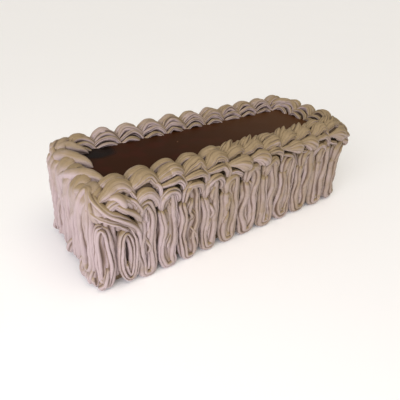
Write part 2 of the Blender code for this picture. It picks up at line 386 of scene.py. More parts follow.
class Wall:
    """One side of the cake and the corners it turns into, as seen from outside: along runs to the
    right, up runs up the side and then over the top edge, and out is the distance from the core."""

    def __init__(self, side, strand_out):
        self.turn = math.radians(SIDE_TURNS[side])
        long_side = side in (FRONT, BACK)
        self.half_run = (HALF_LENGTH if long_side else HALF_WIDTH) - CORE_CORNER
        self.half_depth = HALF_WIDTH if long_side else HALF_LENGTH
        self.bend = CORE_CORNER + strand_out
        self.edge = CORE_HIGH.z - CORE_CORNER

    def place(self, along, up, out):
        """Places and outward directions for arrays of distances."""
        sign = np.sign(along)
        over = np.maximum(0, np.abs(along) - self.half_run)
        angle = np.minimum(over / self.bend, math.pi / 2)
        rest = np.maximum(0, over - self.bend * math.pi / 2)
        roll = np.clip((up - self.edge) / self.bend, 0, math.pi / 2)
        inward = np.maximum(0, up - self.edge - self.bend * math.pi / 2)
        level = np.cos(roll)
        radius = (CORE_CORNER + out) * level
        x = np.clip(along, -self.half_run, self.half_run) + sign * (radius - inward) * np.sin(angle)
        y = -(self.half_depth - CORE_CORNER) - (radius - inward) * np.cos(angle) + rest
        z = np.minimum(up, self.edge) + (CORE_CORNER + out) * np.sin(roll)
        normal = np.stack([sign * np.sin(angle) * level, -np.cos(angle) * level, np.sin(roll)], 1)
        return self.turned(np.stack([x, y, z], 1)), self.turned(normal)

    def turned(self, vectors):
        cos, sin = math.cos(self.turn), math.sin(self.turn)
        spin = np.array([[cos, sin, 0], [-sin, cos, 0], [0, 0, 1]])
        return vectors @ spin


def loop_controls(width, foot, top, out, strand, wobble, draw):
    """The middle line of a piped loop: down its left leg, round the foot, up its right leg and over
    the top. Columns: along, up, out, half width, depth share."""
    leg = width / 2 - strand
    low = foot + strand * 0.93
    high = top - strand
    shares = (0.86, 0.6, 0.36, 0.14)

    def stray():
        return draw.uniform(-wobble, wobble)

    left = [(-leg + stray(), low + (high - low) * share, out + 0.5 * stray()) for share in shares]
    right = [(leg + stray(), low + (high - low) * share, out + 0.5 * stray()) for share in reversed(shares)]
    bottom = [(-0.66 * leg, low + 0.3 * MM, out + 0.7 * MM), (0, low - 0.6 * MM, out + 1.1 * MM),
              (0.66 * leg, low + 0.3 * MM, out + 0.7 * MM)]
    over = [(0.62 * leg, high + 0.8 * MM, out), (-0.1 * leg, high + 1.6 * MM, out + 0.4 * MM),
            (-0.75 * leg, high - 0.5 * MM, out + 0.9 * MM), (-1.02 * leg, high - strand, out + 1.0 * MM),
            (-1.05 * leg, high - 2.2 * strand, out + 0.2 * MM)]
    rows = left + bottom + right + over
    sizes = [strand * draw.uniform(0.82, 1.14) for _ in rows]
    sizes[-1] *= 0.6
    return [(*row, size, 1.0) for row, size in zip(rows, sizes)]


def spiral_controls(width, foot, top, out, strand, turns, mirror, draw):
    """The middle line of an oval wound inwards from its top."""
    rows = []
    outer, inner = width / 2 - strand, 0.55 * strand
    for k in range(round(8 * turns) + 1):
        share = k / (8 * turns)
        angle = math.radians(75) + 2 * math.pi * k / 8
        half_across = outer + (inner - outer) * share
        half_up = (top - foot) / 2 - strand - (outer - inner) * 1.6 * share
        sine = math.sin(angle)
        up = half_up * math.copysign(abs(sine) ** 0.8, sine)
        height = (top + foot) / 2 + up - 2.5 * MM * share
        bulge = 0.8 * MM * (1 - math.sin(angle)) - 0.6 * MM * share
        size = strand * draw.uniform(0.9, 1.08)
        rows.append((mirror * half_across * math.cos(angle), height, out + bulge, size, 1.0))
    return rows


def wall_rows(table, out, share):
    """Controls from rows in mm: along, up, further out than this, half width. All have this share of
    the strand's depth."""
    return [(along * MM, up * MM, out + lift * MM, size * MM, share) for along, up, lift, size in table]


def pipe_on_wall(bm, wall, centre, controls, settings, draw, depth, ends, teeth=0, twist=0.5, shadow=0.0):
    """Adds a strand whose controls are given on a wall, round a centre along it. The depth is that
    of its grooves, and it has the usual teeth where none are given."""
    rows = smooth_run(controls, settings.step)
    places, outward = wall.place(centre + rows[:, 0], rows[:, 1], rows[:, 2])
    section = Section(teeth or settings.ridges, depth, draw)
    add_strand(bm, places, outward, rows[:, 3], settings.strand_depth * rows[:, 4], section, ends, draw,
               draw.uniform(-twist, twist), shadow=shadow)


def front_edges(settings):
    """Edges of the front's loops, whose widths grow evenly towards the right."""
    run = settings.front_end - settings.front_start
    count = round(run / (settings.first_loop * 1.2))
    growth = 2 * (run / count - settings.first_loop) / (count - 1)
    edges = [settings.front_start]
    for k in range(count):
        edges.append(edges[-1] + settings.first_loop + growth * k)
    return edges


def even_edges(start, end, count):
    return [start + (end - start) * k / count for k in range(count + 1)]


class CAKE_OT_pipe_sides(bpy.types.Operator):
    """Pipe the upright loops round the four sides"""
    bl_idname = "cake.pipe_sides"
    bl_label = "Pipe Sides"

    def execute(self, context):
        settings = context.scene.cake_cream
        material = side_cream_material(settings)
        for side in (FRONT, BACK, LEFT, RIGHT):
            bm = new_cream()
            self.pipe_side(bm, side, settings)
            finish_piece(f"cream_loops_{side}", bm, material, "buttercream", f"piping_{side}")
        return {"FINISHED"}

    def pipe_side(self, bm, side, settings):
        draw = random.Random(f"loops {side}")
        wall = Wall(side, settings.strand_depth)
        corner_run = wall.half_run + wall.bend * math.pi / 2
        if side == FRONT:
            edges = front_edges(settings)
            self.near_corner(bm, wall, edges, settings, draw)
            edges = [*edges[1:], corner_run]
        elif side == BACK:
            edges = [-corner_run, *even_edges(-wall.half_run, wall.half_run, 11), corner_run]
        elif side == LEFT:
            edges = []
            self.left_end(bm, wall, settings, draw)
        else:
            edges = even_edges(-wall.half_run, wall.half_run, 4)
        for left, right in zip(edges, edges[1:]):
            self.pipe_loop(bm, wall, left, right, 0 if side == FRONT else 4 * MM, settings, draw)
            if side == FRONT and left < LAST_CRUMPLED:
                self.crumple(bm, wall, (left + right) / 2, settings, draw)

    def pipe_loop(self, bm, wall, left, right, lift, settings, draw):
        """A loop between two places along a wall, and the cream inside it, darkened with painted shade."""
        middle = (left + right) / 2
        width = right - left
        strand = width / 4 + 0.55 * MM
        top = settings.loop_top + lift + draw.uniform(-2.5, 3.5) * MM
        out = settings.strand_depth + draw.uniform(-0.8, 0.4) * MM
        foot = draw.uniform(0.1, 1.0) * MM
        controls = loop_controls(width, foot, top, out, strand, settings.wobble, draw)
        pipe_on_wall(bm, wall, middle, controls, settings, draw, settings.ridge_depth, (strand, 2 * strand))
        # The strand inside the loop is darkened with painted shade.
        shaded_eye = wall_rows([(draw.uniform(-1, 1), height, -3.2, 3.2) for height in (9, 25, 42, 60)], out, 0.8)
        pipe_on_wall(bm, wall, middle, shaded_eye, settings, draw, settings.ridge_depth, (4 * MM, 4 * MM), 4,
                     shadow=0.12)

    def near_corner(self, bm, wall, edges, settings, draw):
        """Two big ovals side by side at the near corner, under folds that sweep down from its top."""
        out = settings.strand_depth
        depth = settings.ridge_depth
        corner = edges[0]
        for left, right, top, mirror in ((corner - 12 * MM, corner + 4.5 * MM, 66 * MM, 1),
                                         (corner + 2 * MM, edges[1] + 5 * MM, 62 * MM, -1)):
            controls = spiral_controls(right - left + 1.5 * MM, OVAL_FOOT, top, out, OVAL_STRAND, OVAL_TURNS,
                                       mirror, draw)
            pipe_on_wall(bm, wall, (left + right) / 2, controls, settings, draw, depth, (3 * MM, 3 * MM), 5)
        for fold in CORNER_FOLDS:
            controls = wall_rows(fold, out, 1.0)
            pipe_on_wall(bm, wall, corner, controls, settings, draw, 0.6 * depth, (4 * MM, 7 * MM), 4)
        # Fillers darkened with painted shade, where the folds and ovals leave only shade.
        for size, places in CORNER_FILLERS:
            controls = wall_rows([(along, up, -3.5, size) for along, up in places], out, 0.8)
            pipe_on_wall(bm, wall, corner, controls, settings, draw, depth, (4 * MM, 4 * MM), 5, shadow=0.1)
        for k in range(9):
            self.leave_tuft(bm, wall, corner + (-31 + 3.6 * k) * MM, draw.uniform(12, 26), settings, draw)

    def crumple(self, bm, wall, middle, settings, draw):
        """Short twisted bits of cream inside a loop."""
        out = settings.strand_depth
        for height in CRUMPLE_HEIGHTS:
            along = middle + draw.uniform(-3.5, 3.5) * MM
            up = (height + draw.uniform(-4, 4)) * MM
            side = draw.choice((-1, 1)) * draw.uniform(1, 3) * MM
            controls = [
                (along - side, up + 8 * MM, out - 1.5 * MM, 1.4 * MM, 0.6),
                (along, up + 4 * MM, out + 1 * MM, 2.8 * MM, 0.8),
                (along + side, up - 2 * MM, out + 1.6 * MM, 3.2 * MM, 0.8),
                (along - 0.5 * side, up - 8 * MM, out, 2 * MM, 0.6),
            ]
            pipe_on_wall(bm, wall, 0, controls, settings, draw, settings.ridge_depth, (2 * MM, 2 * MM), 4,
                         twist=1.5)

    def leave_tuft(self, bm, wall, along, height, settings, draw):
        """A torn end of cream at the foot of a wall, its height in mm."""
        side = draw.uniform(-1, 1)
        lift = settings.strand_depth + draw.uniform(-1.5, 2.5) * MM
        size = draw.uniform(2.4, 4.2)
        tip = lift + draw.uniform(3, 6) * MM
        controls = [
            (along, height * MM, lift, 0.6 * size * MM, 0.5),
            (along + 2.5 * side * MM, 0.62 * height * MM, lift + 2.4 * MM, size * MM, 0.8),
            (along + 6 * side * MM, 0.3 * height * MM, lift + 3.4 * MM, 0.9 * size * MM, 0.7),
            (along + 9 * side * MM, 0.14 * height * MM, tip, 0.3 * size * MM, 0.25),
        ]
        pipe_on_wall(bm, wall, 0, controls, settings, draw, settings.ridge_depth, (2 * MM, 2 * MM), 4)

    def left_end(self, bm, wall, settings, draw):
        """Broad smooth strokes on the left end, drawn up over its top edge, with narrow pleats over
        them, torn feet, and a long loop at the near corner."""
        out = settings.strand_depth
        depth = settings.ridge_depth
        for middle in LEFT_STROKES:
            foot = draw.uniform(3, 10)
            stroke = [
                (middle + lean + draw.uniform(-1.5, 1.5), up, draw.uniform(-1.2, 0.6),
                 draw.uniform(9.4, 11.2))
                for lean, up in ((9, 94), (6, 74), (0, 52), (-5, 28), (-8, foot))]
            controls = wall_rows(stroke, out, 0.95)
            pipe_on_wall(bm, wall, 0, controls, settings, draw, 0.3 * depth, (8 * MM, 6 * MM), 7)
        loop = wall_rows(CORNER_LOOP, out, 1.0)
        pipe_on_wall(bm, wall, 0, loop, settings, draw, 0.6 * depth, (5 * MM, 5 * MM), 5)
        # A strand in the hollow by the corner loop, lightly darkened with painted shade.
        hollow = wall_rows([(35 + 0.08 * up, up, -3, 5) for up in (84, 60, 36, 8)], out, 0.8)
        pipe_on_wall(bm, wall, 0, hollow, settings, draw, 0.6 * depth, (4 * MM, 4 * MM), 5, shadow=0.05)
        for middle, top in LEFT_PLEATS:
            foot = draw.uniform(4, 10)
            rises = (top, top - 10, 0.5 * (top + foot), foot)
            pleat = [
                (middle + 0.2 * (up - 45) + draw.uniform(-1, 1), up, lift, size)
                for up, lift, size in zip(rises, (-1, 1, 1.5, 1.8), (1.6, 3, 3.6, 3))]
            controls = wall_rows(pleat, out, 0.95)
            pipe_on_wall(bm, wall, 0, controls, settings, draw, 0.5 * depth, (8 * MM, 3 * MM), 5)
        for k in range(11):
            self.leave_tuft(bm, wall, (-52 + 10.5 * k) * MM, draw.uniform(10, 22), settings, draw)


# The front's loops left of this place have twisted bits of cream inside, at these heights in mm.
LAST_CRUMPLED = -20 * MM
CRUMPLE_HEIGHTS = (58, 44, 30)

# Height of the feet of the near corner's ovals, half width of their strands, and how often these
# go round.
OVAL_FOOT = 0.2 * MM
OVAL_STRAND = 3.9 * MM
OVAL_TURNS = 1.75

# The tables from here to PEAKS are in mm. Middles of the left end's strokes, along it.
LEFT_STROKES = (-57, -39, -21, -3, 14, 30)

# Narrow pleats over the strokes of the left end: where along it, and how high they reach.
LEFT_PLEATS = ((-47, 58), (-34, 70), (-22, 54), (-10, 66), (1, 72), (13, 60), (23, 76))

# The loop at the near corner, on the left end: along, up, further out than the strokes, half width.
CORNER_LOOP = (
    (45.5, 72, 0, 2.4), (45, 80, 1, 3.2), (42, 85, 1.6, 3.6), (38, 84, 2, 3.8), (36, 76, 1.8, 3.9),
    (35, 60, 1.5, 4), (33.5, 42, 1.5, 4), (31.5, 27, 1.5, 4), (32.5, 17, 2, 4), (37.5, 13.5, 2, 4),
    (42, 19, 1.5, 3.8), (43.5, 36, 1, 3.6), (44.5, 56, 1, 3.4), (45, 70, 0.5, 3), (45, 78, -1.5, 2),
)

# Folds of cream from the top of the near corner down over the two ovals: along from the ovals'
# shared edge, up, further out than the loops, and half width.
CORNER_FOLDS = (
    ((-13, 84, -2, 3), (-9, 79, 0, 5), (-6, 72, 0.6, 6.6), (-5, 63, 0, 5)),
    ((-13, 86, -2, 2.2), (-8, 81.5, 2, 3), (0, 75, 3.4, 3.6), (7, 68.5, 4, 3.8), (14, 61.5, 3.6, 3.6),
     (20, 54.5, 2.6, 3.4), (23.5, 45, 1, 3.2), (24, 28, -1, 2.8), (23.5, 14, -2, 2)),
    ((-9, 75, 0, 1.8), (-3, 70, 2, 2.4), (4, 64.5, 3, 2.6), (10, 58.5, 2.4, 2.4), (15, 52, 1, 2)),
    ((2, 80, -1, 2.5), (9, 75.5, 2.6, 3.4), (16, 71.5, 3.4, 3.8), (22, 65.5, 2.6, 3.4), (26, 57, 0, 2.4)),
    ((14, 79, -1, 2), (20, 76.5, 2, 3), (25, 71, 2, 3), (28, 63, 0, 2.2)),
    ((4, 81, 0, 2.6), (8.5, 80.5, 3.6, 4.6), (11.5, 77.5, 4, 4.6), (12.5, 73, 2.5, 3)),
)

# Strands behind those folds and ovals, darkened with painted shade: half width, then along and up.
CORNER_FILLERS = (
    (7.0, ((4, 84), (1, 70), (0, 50), (0, 28), (1, 8))),
    (7.0, ((16, 82), (13, 66), (12, 50))),
    (6.0, ((-17, 60), (-16, 34), (-14, 8))),
    (6.0, ((-16, 88), (-8, 87), (0, 84), (8, 80))),
)

# Leaves over the left top edge, from their feet on the wall to their tips: along, up, out, half width
# and share of the depth.
LEFT_BLADES = (
    ((-52, 78, 1, 4, 0.6), (-45, 88, 3, 7, 1.0), (-37, 97, 4, 7, 1.0), (-29, 104, 3.6, 4.5, 0.7),
     (-24, 109, 3, 1, 0.3)),
    ((-44, 74, 2, 4, 0.6), (-32, 83, 4, 7, 1.0), (-19, 90, 5, 8, 1.1), (-7, 96, 4.5, 6, 0.9),
     (0, 100, 3.4, 3, 0.6), (4, 102, 2.6, 0.8, 0.3)),
    ((-20, 70, 2, 4, 0.6), (-6, 79, 4, 7, 1.0), (10, 87, 5, 8, 1.1), (25, 94, 4.5, 6, 0.9),
     (34, 98, 3.4, 3, 0.6), (39, 101, 2.6, 0.8, 0.3)),
    ((4, 64, 2, 4, 0.5), (14, 73, 3.6, 6, 0.9), (27, 81, 4.2, 6.5, 0.9), (38, 87, 3.4, 4, 0.6),
     (46, 91, 2, 1, 0.3)),
)

# Plump strands at the corners, some with a drawn-out tip: x, y, z, half width and half thickness.
PEAKS = {
    FRONT: (
        ((128, -46, 86, 4, 4), (135, -48, 85, 6.5, 6), (140, -49, 80, 6, 5.5), (141, -50, 74, 3, 3)),
        ((136, -43, 85, 4, 4), (141, -46, 83, 6, 5.5), (144.5, -49, 79, 5.5, 5), (145.5, -51, 72, 3, 3)),
        ((134, -48, 83, 4, 4), (140, -51.5, 79, 5.4, 5), (144.5, -54, 76.5, 4, 4),
         (149, -56.5, 75, 0.9, 0.9)),
        ((136, -50, 72, 3, 3), (141, -52.5, 71, 4.6, 4.4), (145.5, -53.5, 69, 4.2, 4.2),
         (147, -53.5, 63, 2, 2)),
        ((138, -30, 86, 4, 4), (144, -34, 85, 6, 5.5), (148, -39, 81, 5.5, 5), (148.5, -44, 75, 3, 3)),
    ),
    BACK: (
        ((122, 40, 82, 7, 6), (131, 36, 86, 10, 8), (140, 29, 86, 10, 7), (146, 21, 83, 4, 4)),
        ((-122, 50, 82, 5, 4), (-129, 48, 86, 8, 7), (-137, 45, 87, 7, 6), (-143, 44, 84, 3, 3)),
    ),
    LEFT: (
        ((-140, 14, 50, 5, 3), (-140, 24, 64, 8, 5), (-140, 34, 77, 8, 5.5), (-139, 43, 84, 7, 5.5),
         (-139, 49, 86, 4.4, 4), (-139, 54.5, 89, 0.8, 0.8)),
    ),
    RIGHT: (
        ((137, -22, 82, 5, 5), (140, -31, 82, 8, 7), (139.5, -40, 80, 8, 7), (134, -47, 77, 4, 4)),
        ((139, -30, 66, 5, 5), (141, -37, 64, 7, 6), (139, -44, 62, 5, 5)),
    ),
}


class Row:
    """A row of shells on one side of the border. Its own axes: along points the way the heads do,
    up is +Z, and across points away from the cake's middle."""

    def __init__(self, side, inset, strand_depth):
        turn = Matrix.Rotation(math.radians(SIDE_TURNS[side]), 3, "Z")
        heads = 1 if side in (FRONT, LEFT) else -1
        face = (HALF_WIDTH if side in (FRONT, BACK) else HALF_LENGTH) + 2 * strand_depth
        self.along = np.array(turn @ Vector((heads, 0, 0)))
        self.across = np.array(turn @ Vector((0, -1, 0)))
        self.up = np.array((0.0, 0.0, 1.0))
        self.middle = self.across * (face - inset) + self.up * CREST_HEIGHT

    def place(self, along, up, across):
        rows = np.stack([along, up, across], 1)
        return self.middle + rows @ np.stack([self.along, self.up, self.across])


# Shells left of this place are smaller by this share.
LAST_SMALL = -115 * MM
SMALLER = 0.16

# The seat is the height of a shell's heart, from the crest. A ridge is broad from this half width on.
SHELL_SEAT = -15 * MM
BROAD_RIDGE = 4 * MM

# The body of a shell, with the same columns as its ridges.
SHELL_BODY = (
    (-15, -15, 3, 3, 2), (-9, -14, 1, 8, 5), (-2, -13, 0, 10, 6.5), (5, -13.5, 0, 10, 6.5),
    (11, -15, 0, 7, 5),
)

# Ridges of a shell, each from the shell's tail round its head, in mm: along, up from the crest,
# towards the viewer's flank, half width and half thickness.
ARCHED_BANDS = (
    ((-15, -13, 0, 1.5, 1.5), (-9, -9.5, -4, 4.5, 3.5), (-2, -6, -5.5, 6.5, 4.5), (4, -4.6, -6, 7, 4.5),
     (9, -7.5, -6, 5.5, 4), (11.5, -14, -6, 3, 3)),
    ((-16, -14.5, 9.5, 1, 1), (-11, -11.5, 7.5, 3, 2.6), (-5, -8, 6, 5, 3.6), (1, -5.4, 5, 6.2, 4.2),
     (6, -4.6, 5, 6.2, 4.2), (10, -8, 6.2, 5, 3.6), (12, -14, 8.4, 3.2, 2.8), (12, -20, 9.6, 1.6, 1.8)),
    ((9, -9, 9.5, 1.2, 1.2), (11.6, -13, 11.5, 1.7, 1.9), (12.4, -19, 12.6, 1.6, 1.8),
     (11.5, -26, 12.5, 0.8, 0.8)),
    ((11, -8, 4, 1.2, 1.2), (14, -13, 6.5, 1.7, 1.8), (14.8, -19, 9, 1.6, 1.8),
     (14, -25, 10.5, 0.8, 0.8)),
)
ARCHED_SHELL = (
    *ARCHED_BANDS,
    ((-11, -30, 11, 1.5, 1.5), (-10.5, -24, 12.4, 3, 3), (-6, -17.4, 12.6, 4.4, 4), (0, -15.4, 12, 5, 4.4),
     (5.5, -17.6, 12.6, 4, 4), (8, -24, 12.8, 3, 3), (7.5, -31, 11, 1.5, 1.5)),
)
FOLDED_SHELL = (
    *ARCHED_BANDS,
    ((-14.5, -15, 10.5, 0.8, 0.8), (-7, -13, 11.6, 2.4, 2.4), (0, -11.8, 12, 3.2, 3),
     (5.5, -12.4, 12.2, 3.2, 3), (9.5, -16.4, 12.8, 2.4, 2.4), (9.5, -22.5, 13, 0.9, 0.9)),
    ((-9, -32, 11, 1.5, 1.5), (-9, -26, 13, 2.8, 3), (-5.5, -20.5, 13.4, 3.6, 3.6),
     (-0.5, -19.4, 13.2, 3.8, 3.8), (3.5, -21.5, 13.4, 3.2, 3.4), (5.5, -27, 13, 2.6, 2.8),
     (5, -33, 11, 1.5, 1.5)),
)
FANNED_SHELL = (
    ((-14, -8.5, -11, 2, 2), (-6, -8.5, -9, 5, 4), (4, -8.5, -8, 6, 4), (12, -9, -8, 4, 3),
     (15, -12, -8, 1, 1)),
    ((-18, -13, 9, 1, 1), (-11, -9.6, 6, 3.6, 2.8), (-4, -6.4, 3.6, 5.6, 3.8), (3, -4.6, 2.4, 6.2, 4.2),
     (9, -6, 2.6, 5.4, 4), (12.5, -10.5, 4.4, 4, 3), (13.5, -16, 7, 2, 2)),
    ((-15, -9.5, 1, 1, 1), (-8, -5.4, -2, 2.8, 3), (-2.5, -2, -5, 3, 3.2), (1.5, 0.8, -8, 0.6, 0.6)),
    ((-11, -8.5, 3, 1, 1), (-4, -3.8, 0, 2.8, 3), (1.5, -0.8, -3, 2.8, 3.2), (6, 2, -6.5, 0.6, 0.6)),
    ((-6, -8, 5, 1, 1), (2, -4.2, 2, 2.8, 3), (8, -1.6, -1, 2.8, 3.1), (12.5, 0.4, -4.5, 0.6, 0.6)),
    ((-17, -13.5, 11, 0.8, 0.8), (-10, -12.4, 12, 2.2, 2), (-3, -11.8, 13, 4, 3.4),
     (3.5, -12.2, 13.6, 6.6, 5.2), (9, -15.6, 13.8, 7, 5.6), (10, -21.5, 12.4, 3.8, 3.8)),
    ((-12, -18.5, 12, 0.8, 0.8), (-7, -19.5, 12.6, 2, 2.2), (-1, -21, 12.8, 2.6, 2.8),
     (4, -24, 12.6, 2, 2.4), (4, -28, 12, 1, 1)),
)
COMMA_SHELL = (
    ((-13, -15, -10, 1.5, 1.5), (-7, -15, -12, 4.5, 4), (0, -15, -13, 7, 5), (6, -17, -13, 7, 5),
     (7, -22, -12, 4, 4)),
    ((-15, -13, 0, 1.5, 1.5), (-8, -8.5, -4, 5, 4), (0, -4.2, -5, 7, 4.8), (6, -5, -5, 6.5, 4.6),
     (11, -12, -4, 4, 3.5)),
    ((-15, -14, 7, 1, 1), (-9, -8.4, 2.6, 2.6, 2.8), (-2, -3.8, 0.6, 3.4, 3.8), (5, -3, 0.8, 3.6, 3.8),
     (11.5, -7, 3.4, 3.2, 3.4), (15, -13, 7, 2.4, 2.6), (15.4, -19, 9, 1.2, 1.2)),
    ((-15, -13.5, 8.5, 0.8, 0.8), (-8.5, -9, 7.4, 1.6, 2.2), (-2, -5.8, 7.4, 2.1, 2.8),
     (4.5, -5.6, 7.6, 2.3, 2.9), (10, -8.6, 9, 2.2, 2.8), (12.6, -14, 11.6, 1.9, 2.3),
     (12.8, -19, 13.4, 1, 1)),
    ((-14.5, -14, 11, 0.8, 0.8), (-9, -10.8, 11.8, 1.6, 2.2), (-3.5, -8.8, 12.4, 2, 2.6),
     (2, -9, 12.6, 2.2, 2.6), (6.6, -12, 13.8, 2.1, 2.4), (7.4, -18, 15.6, 1.4, 1.5)),
)

# The shells of the front row, from its left end.
FRONT_STYLES = (
    *[ARCHED_SHELL] * 2, *[FOLDED_SHELL] * 3, *[FANNED_SHELL, FANNED_SHELL, FOLDED_SHELL] * 2, FANNED_SHELL,
)
BACK_STYLES = (COMMA_SHELL,) * 11
RIGHT_STYLES = (COMMA_SHELL,) * 3
RIGHT_PITCH = 22 * MM

# Half thickness of the leaves on the left top edge, and the place that the peaks point away from.
BLADE_DEPTH = 7.8 * MM
CAKE_HEART = (0, 0, 50 * MM)


class CAKE_OT_pipe_border(bpy.types.Operator):
    """Pipe the rows of shells along the top edge"""
    bl_idname = "cake.pipe_border"
    bl_label = "Pipe Border"

    def execute(self, context):
        border = context.scene.cake_border
        cream = context.scene.cake_cream
        material = border_cream_material(cream)
        for side in (FRONT, BACK, LEFT, RIGHT):
            bm = new_cream()
            self.pipe_row(bm, side, border, cream)
            finish_piece(f"cream_shells_{side}", bm, material, "border_cream", f"border_{side}")
        return {"FINISHED"}

    def pipe_row(self, bm, side, border, cream):
        draw = random.Random(f"shells {side}")
        row = Row(side, border.inset, cream.strand_depth)
        flank = 1 if side == FRONT else -1
        if side == FRONT:
            first, pitch, styles = border.front_first, border.front_pitch, FRONT_STYLES
        elif side == BACK:
            first, pitch, styles = border.back_first, border.back_pitch, BACK_STYLES
        elif side == LEFT:
            first, pitch, styles = 0, 0, ()
            self.pipe_blades(bm, cream, draw)
        else:
            first, pitch, styles = -RIGHT_PITCH, RIGHT_PITCH, RIGHT_STYLES
        for peak in PEAKS[side]:
            self.pull_peak(bm, peak, cream, draw)
        for k, style in enumerate(styles):
            crest = first + pitch * k + draw.uniform(-1.2, 1.2) * MM
            self.pipe_shell(bm, row, crest, style, flank, border, cream, draw)

    def pipe_shell(self, bm, row, crest, style, flank, border, cream, draw):
        """A shell's body, darkened with painted shade, which shows only between its ridges, and the ridges.
        """
        size = draw.uniform(0.94, 1.07) - SMALLER * (crest < LAST_SMALL)
        rows = smooth_run(np.array(SHELL_BODY) * MM, cream.step)
        places = row.place(crest + rows[:, 0], rows[:, 1], flank * rows[:, 2])
        guide = np.broadcast_to(row.up, places.shape)
        section = Section(6, 0.1, draw, samples=4)
        # The shadow paints the body dark: painted shade between the ridges.
        add_strand(bm, places, guide, rows[:, 3], rows[:, 4], section, (4 * MM, 5 * MM), draw, shadow=0.3)
        for rib in style:
            self.pipe_rib(bm, row, crest, rib, flank, size, border, cream, draw)

    def pipe_rib(self, bm, row, crest, rib, flank, size, border, cream, draw):
        """One ridge of a shell, from its tail round its head."""
        controls = np.array(rib) * MM
        controls[:, :3] += [[draw.uniform(-0.6, 0.6) * MM for _ in range(3)] for _ in rib]
        controls[:, 1] = (controls[:, 1] - SHELL_SEAT) * size + SHELL_SEAT
        controls[:, 2] *= flank
        controls[:, 3:] *= draw.uniform(0.94, 1.08)
        rows = smooth_run(controls, cream.step)
        places = row.place(crest + rows[:, 0], rows[:, 1], rows[:, 2])
        still = np.zeros(len(rows))
        seat = row.place(crest + 0.4 * rows[:, 0], still + SHELL_SEAT, still)
        broad = controls[:, 3].max() > BROAD_RIDGE
        teeth, share, samples = (border.ridges, 0.4, 6) if broad else (5, 0.6, 4)
        section = Section(teeth, border.ridge_depth * share, draw, samples, back_samples=2)
        add_strand(bm, places, unit(places - seat), rows[:, 3], rows[:, 4], section, (2 * MM, 2.5 * MM), draw)

    def pipe_blades(self, bm, cream, draw):
        """Broad smooth leaves of cream over the left top edge, their tips towards the glaze."""
        wall = Wall(LEFT, cream.strand_depth)
        for blade in LEFT_BLADES:
            rows = smooth_run(np.array(blade) * (MM, MM, MM, MM, 1), cream.step)
            places, outward = wall.place(rows[:, 0], rows[:, 1], rows[:, 2])
            section = Section(3, 0.26, draw, samples=10)
            add_strand(bm, places, outward, rows[:, 3], BLADE_DEPTH * rows[:, 4], section, (6 * MM, 5 * MM),
                       draw, twist=0.3)

    def pull_peak(self, bm, peak, cream, draw):
        """A plump strand in the open, whose tip the bag may have drawn out as it was lifted."""
        rows = smooth_run(np.array(peak) * MM, cream.step)
        places = rows[:, :3]
        section = Section(4, 0.25, draw, samples=8)
        add_strand(bm, places, unit(places - CAKE_HEART), rows[:, 3], rows[:, 4], section, (5 * MM, 2.5 * MM),
                   draw)


# Strips that the glaze's slab is cut into along X and Y, the size of its waves, and the most by
# which two heights in it differ and still count as one.
GLAZE_STRIPS = ((0, 90), (1, 32))
GLAZE_WAVE_SIZE = 22 * MM
SAME_HEIGHT = 1e-5


class CAKE_OT_pour_glaze(bpy.types.Operator):
    """Pour the chocolate glaze over the top"""
    bl_idname = "cake.pour_glaze"
    bl_label = "Pour Glaze"

    def execute(self, context):
        settings = context.scene.cake_glaze
        size = GLAZE_HIGH - GLAZE_LOW
        bm = bmesh.new()
        bmesh.ops.create_cube(bm, size=1.0)
        bmesh.ops.scale(bm, vec=size, verts=bm.verts)
        bmesh.ops.translate(bm, vec=(GLAZE_HIGH + GLAZE_LOW) / 2, verts=bm.verts)
        uprights = [e for e in bm.edges if abs(e.verts[0].co.z - e.verts[1].co.z) > SAME_HEIGHT]
        bmesh.ops.bevel(bm, geom=uprights, offset=CORE_CORNER, segments=6, profile=0.5, affect="EDGES",
                        material=-1)
        self.slice_up(bm, size)
        for vert in bm.verts:
            if vert.co.z > GLAZE_HIGH.z - SAME_HEIGHT:
                vert.co.z += settings.wave * noise.noise(vert.co / GLAZE_WAVE_SIZE)
        finish_piece("poured_glaze", bm, glaze_material(settings), "chocolate_glaze", "chocolate_glaze")
        return {"FINISHED"}

    def slice_up(self, bm, size):
        """Cuts the slab across and along, so that its top can rise and fall."""
        for axis, count in GLAZE_STRIPS:
            normal = Vector((axis == 0, axis == 1, 0))
            for k in range(1, count):
                point = normal * (GLAZE_LOW[axis] + size[axis] * k / count)
                everything = [*bm.verts, *bm.edges, *bm.faces]
                bmesh.ops.bisect_plane(bm, geom=everything, plane_co=point, plane_no=normal)


class CAKE_OT_coat_core(bpy.types.Operator):
    """Give the core its thin coat of cream"""
    bl_idname = "cake.coat_core"
    bl_label = "Coat Core"

    def execute(self, context):
        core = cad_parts["cake_body"]
        coat = coat_material(context.scene.cake_cream)
        for slot in core.material_slots:
            slot.material = coat
        return {"FINISHED"}


# The table's reach and the room's tint. Each lamp has its place, the place that it points at, its
# colour and its spread, which is a size in metres, or an angle for the two suns.
TABLE_REACH = 15.0
ROOM_TINT = (1.0, 0.985, 0.96, 1)
NEAR_LAMP = ((-0.5, -0.45, 0.28), (-0.15, -0.05, 0.04), (1.0, 0.97, 1.04), 0.45)
WINDOW = ((-0.85, -0.4, 0.45), (0, 0, 0), (0.96, 0.94, 1.0), math.radians(50))
CEILING = ((0.2, -0.3, 1.0), (0, 0, 0), (1.0, 0.92, 0.76), math.radians(50))

# The camera's sensor in millimetres, and the nearest and furthest that it sees.
SENSOR_WIDTH = 36
CLIPPING = (0.01, 50)


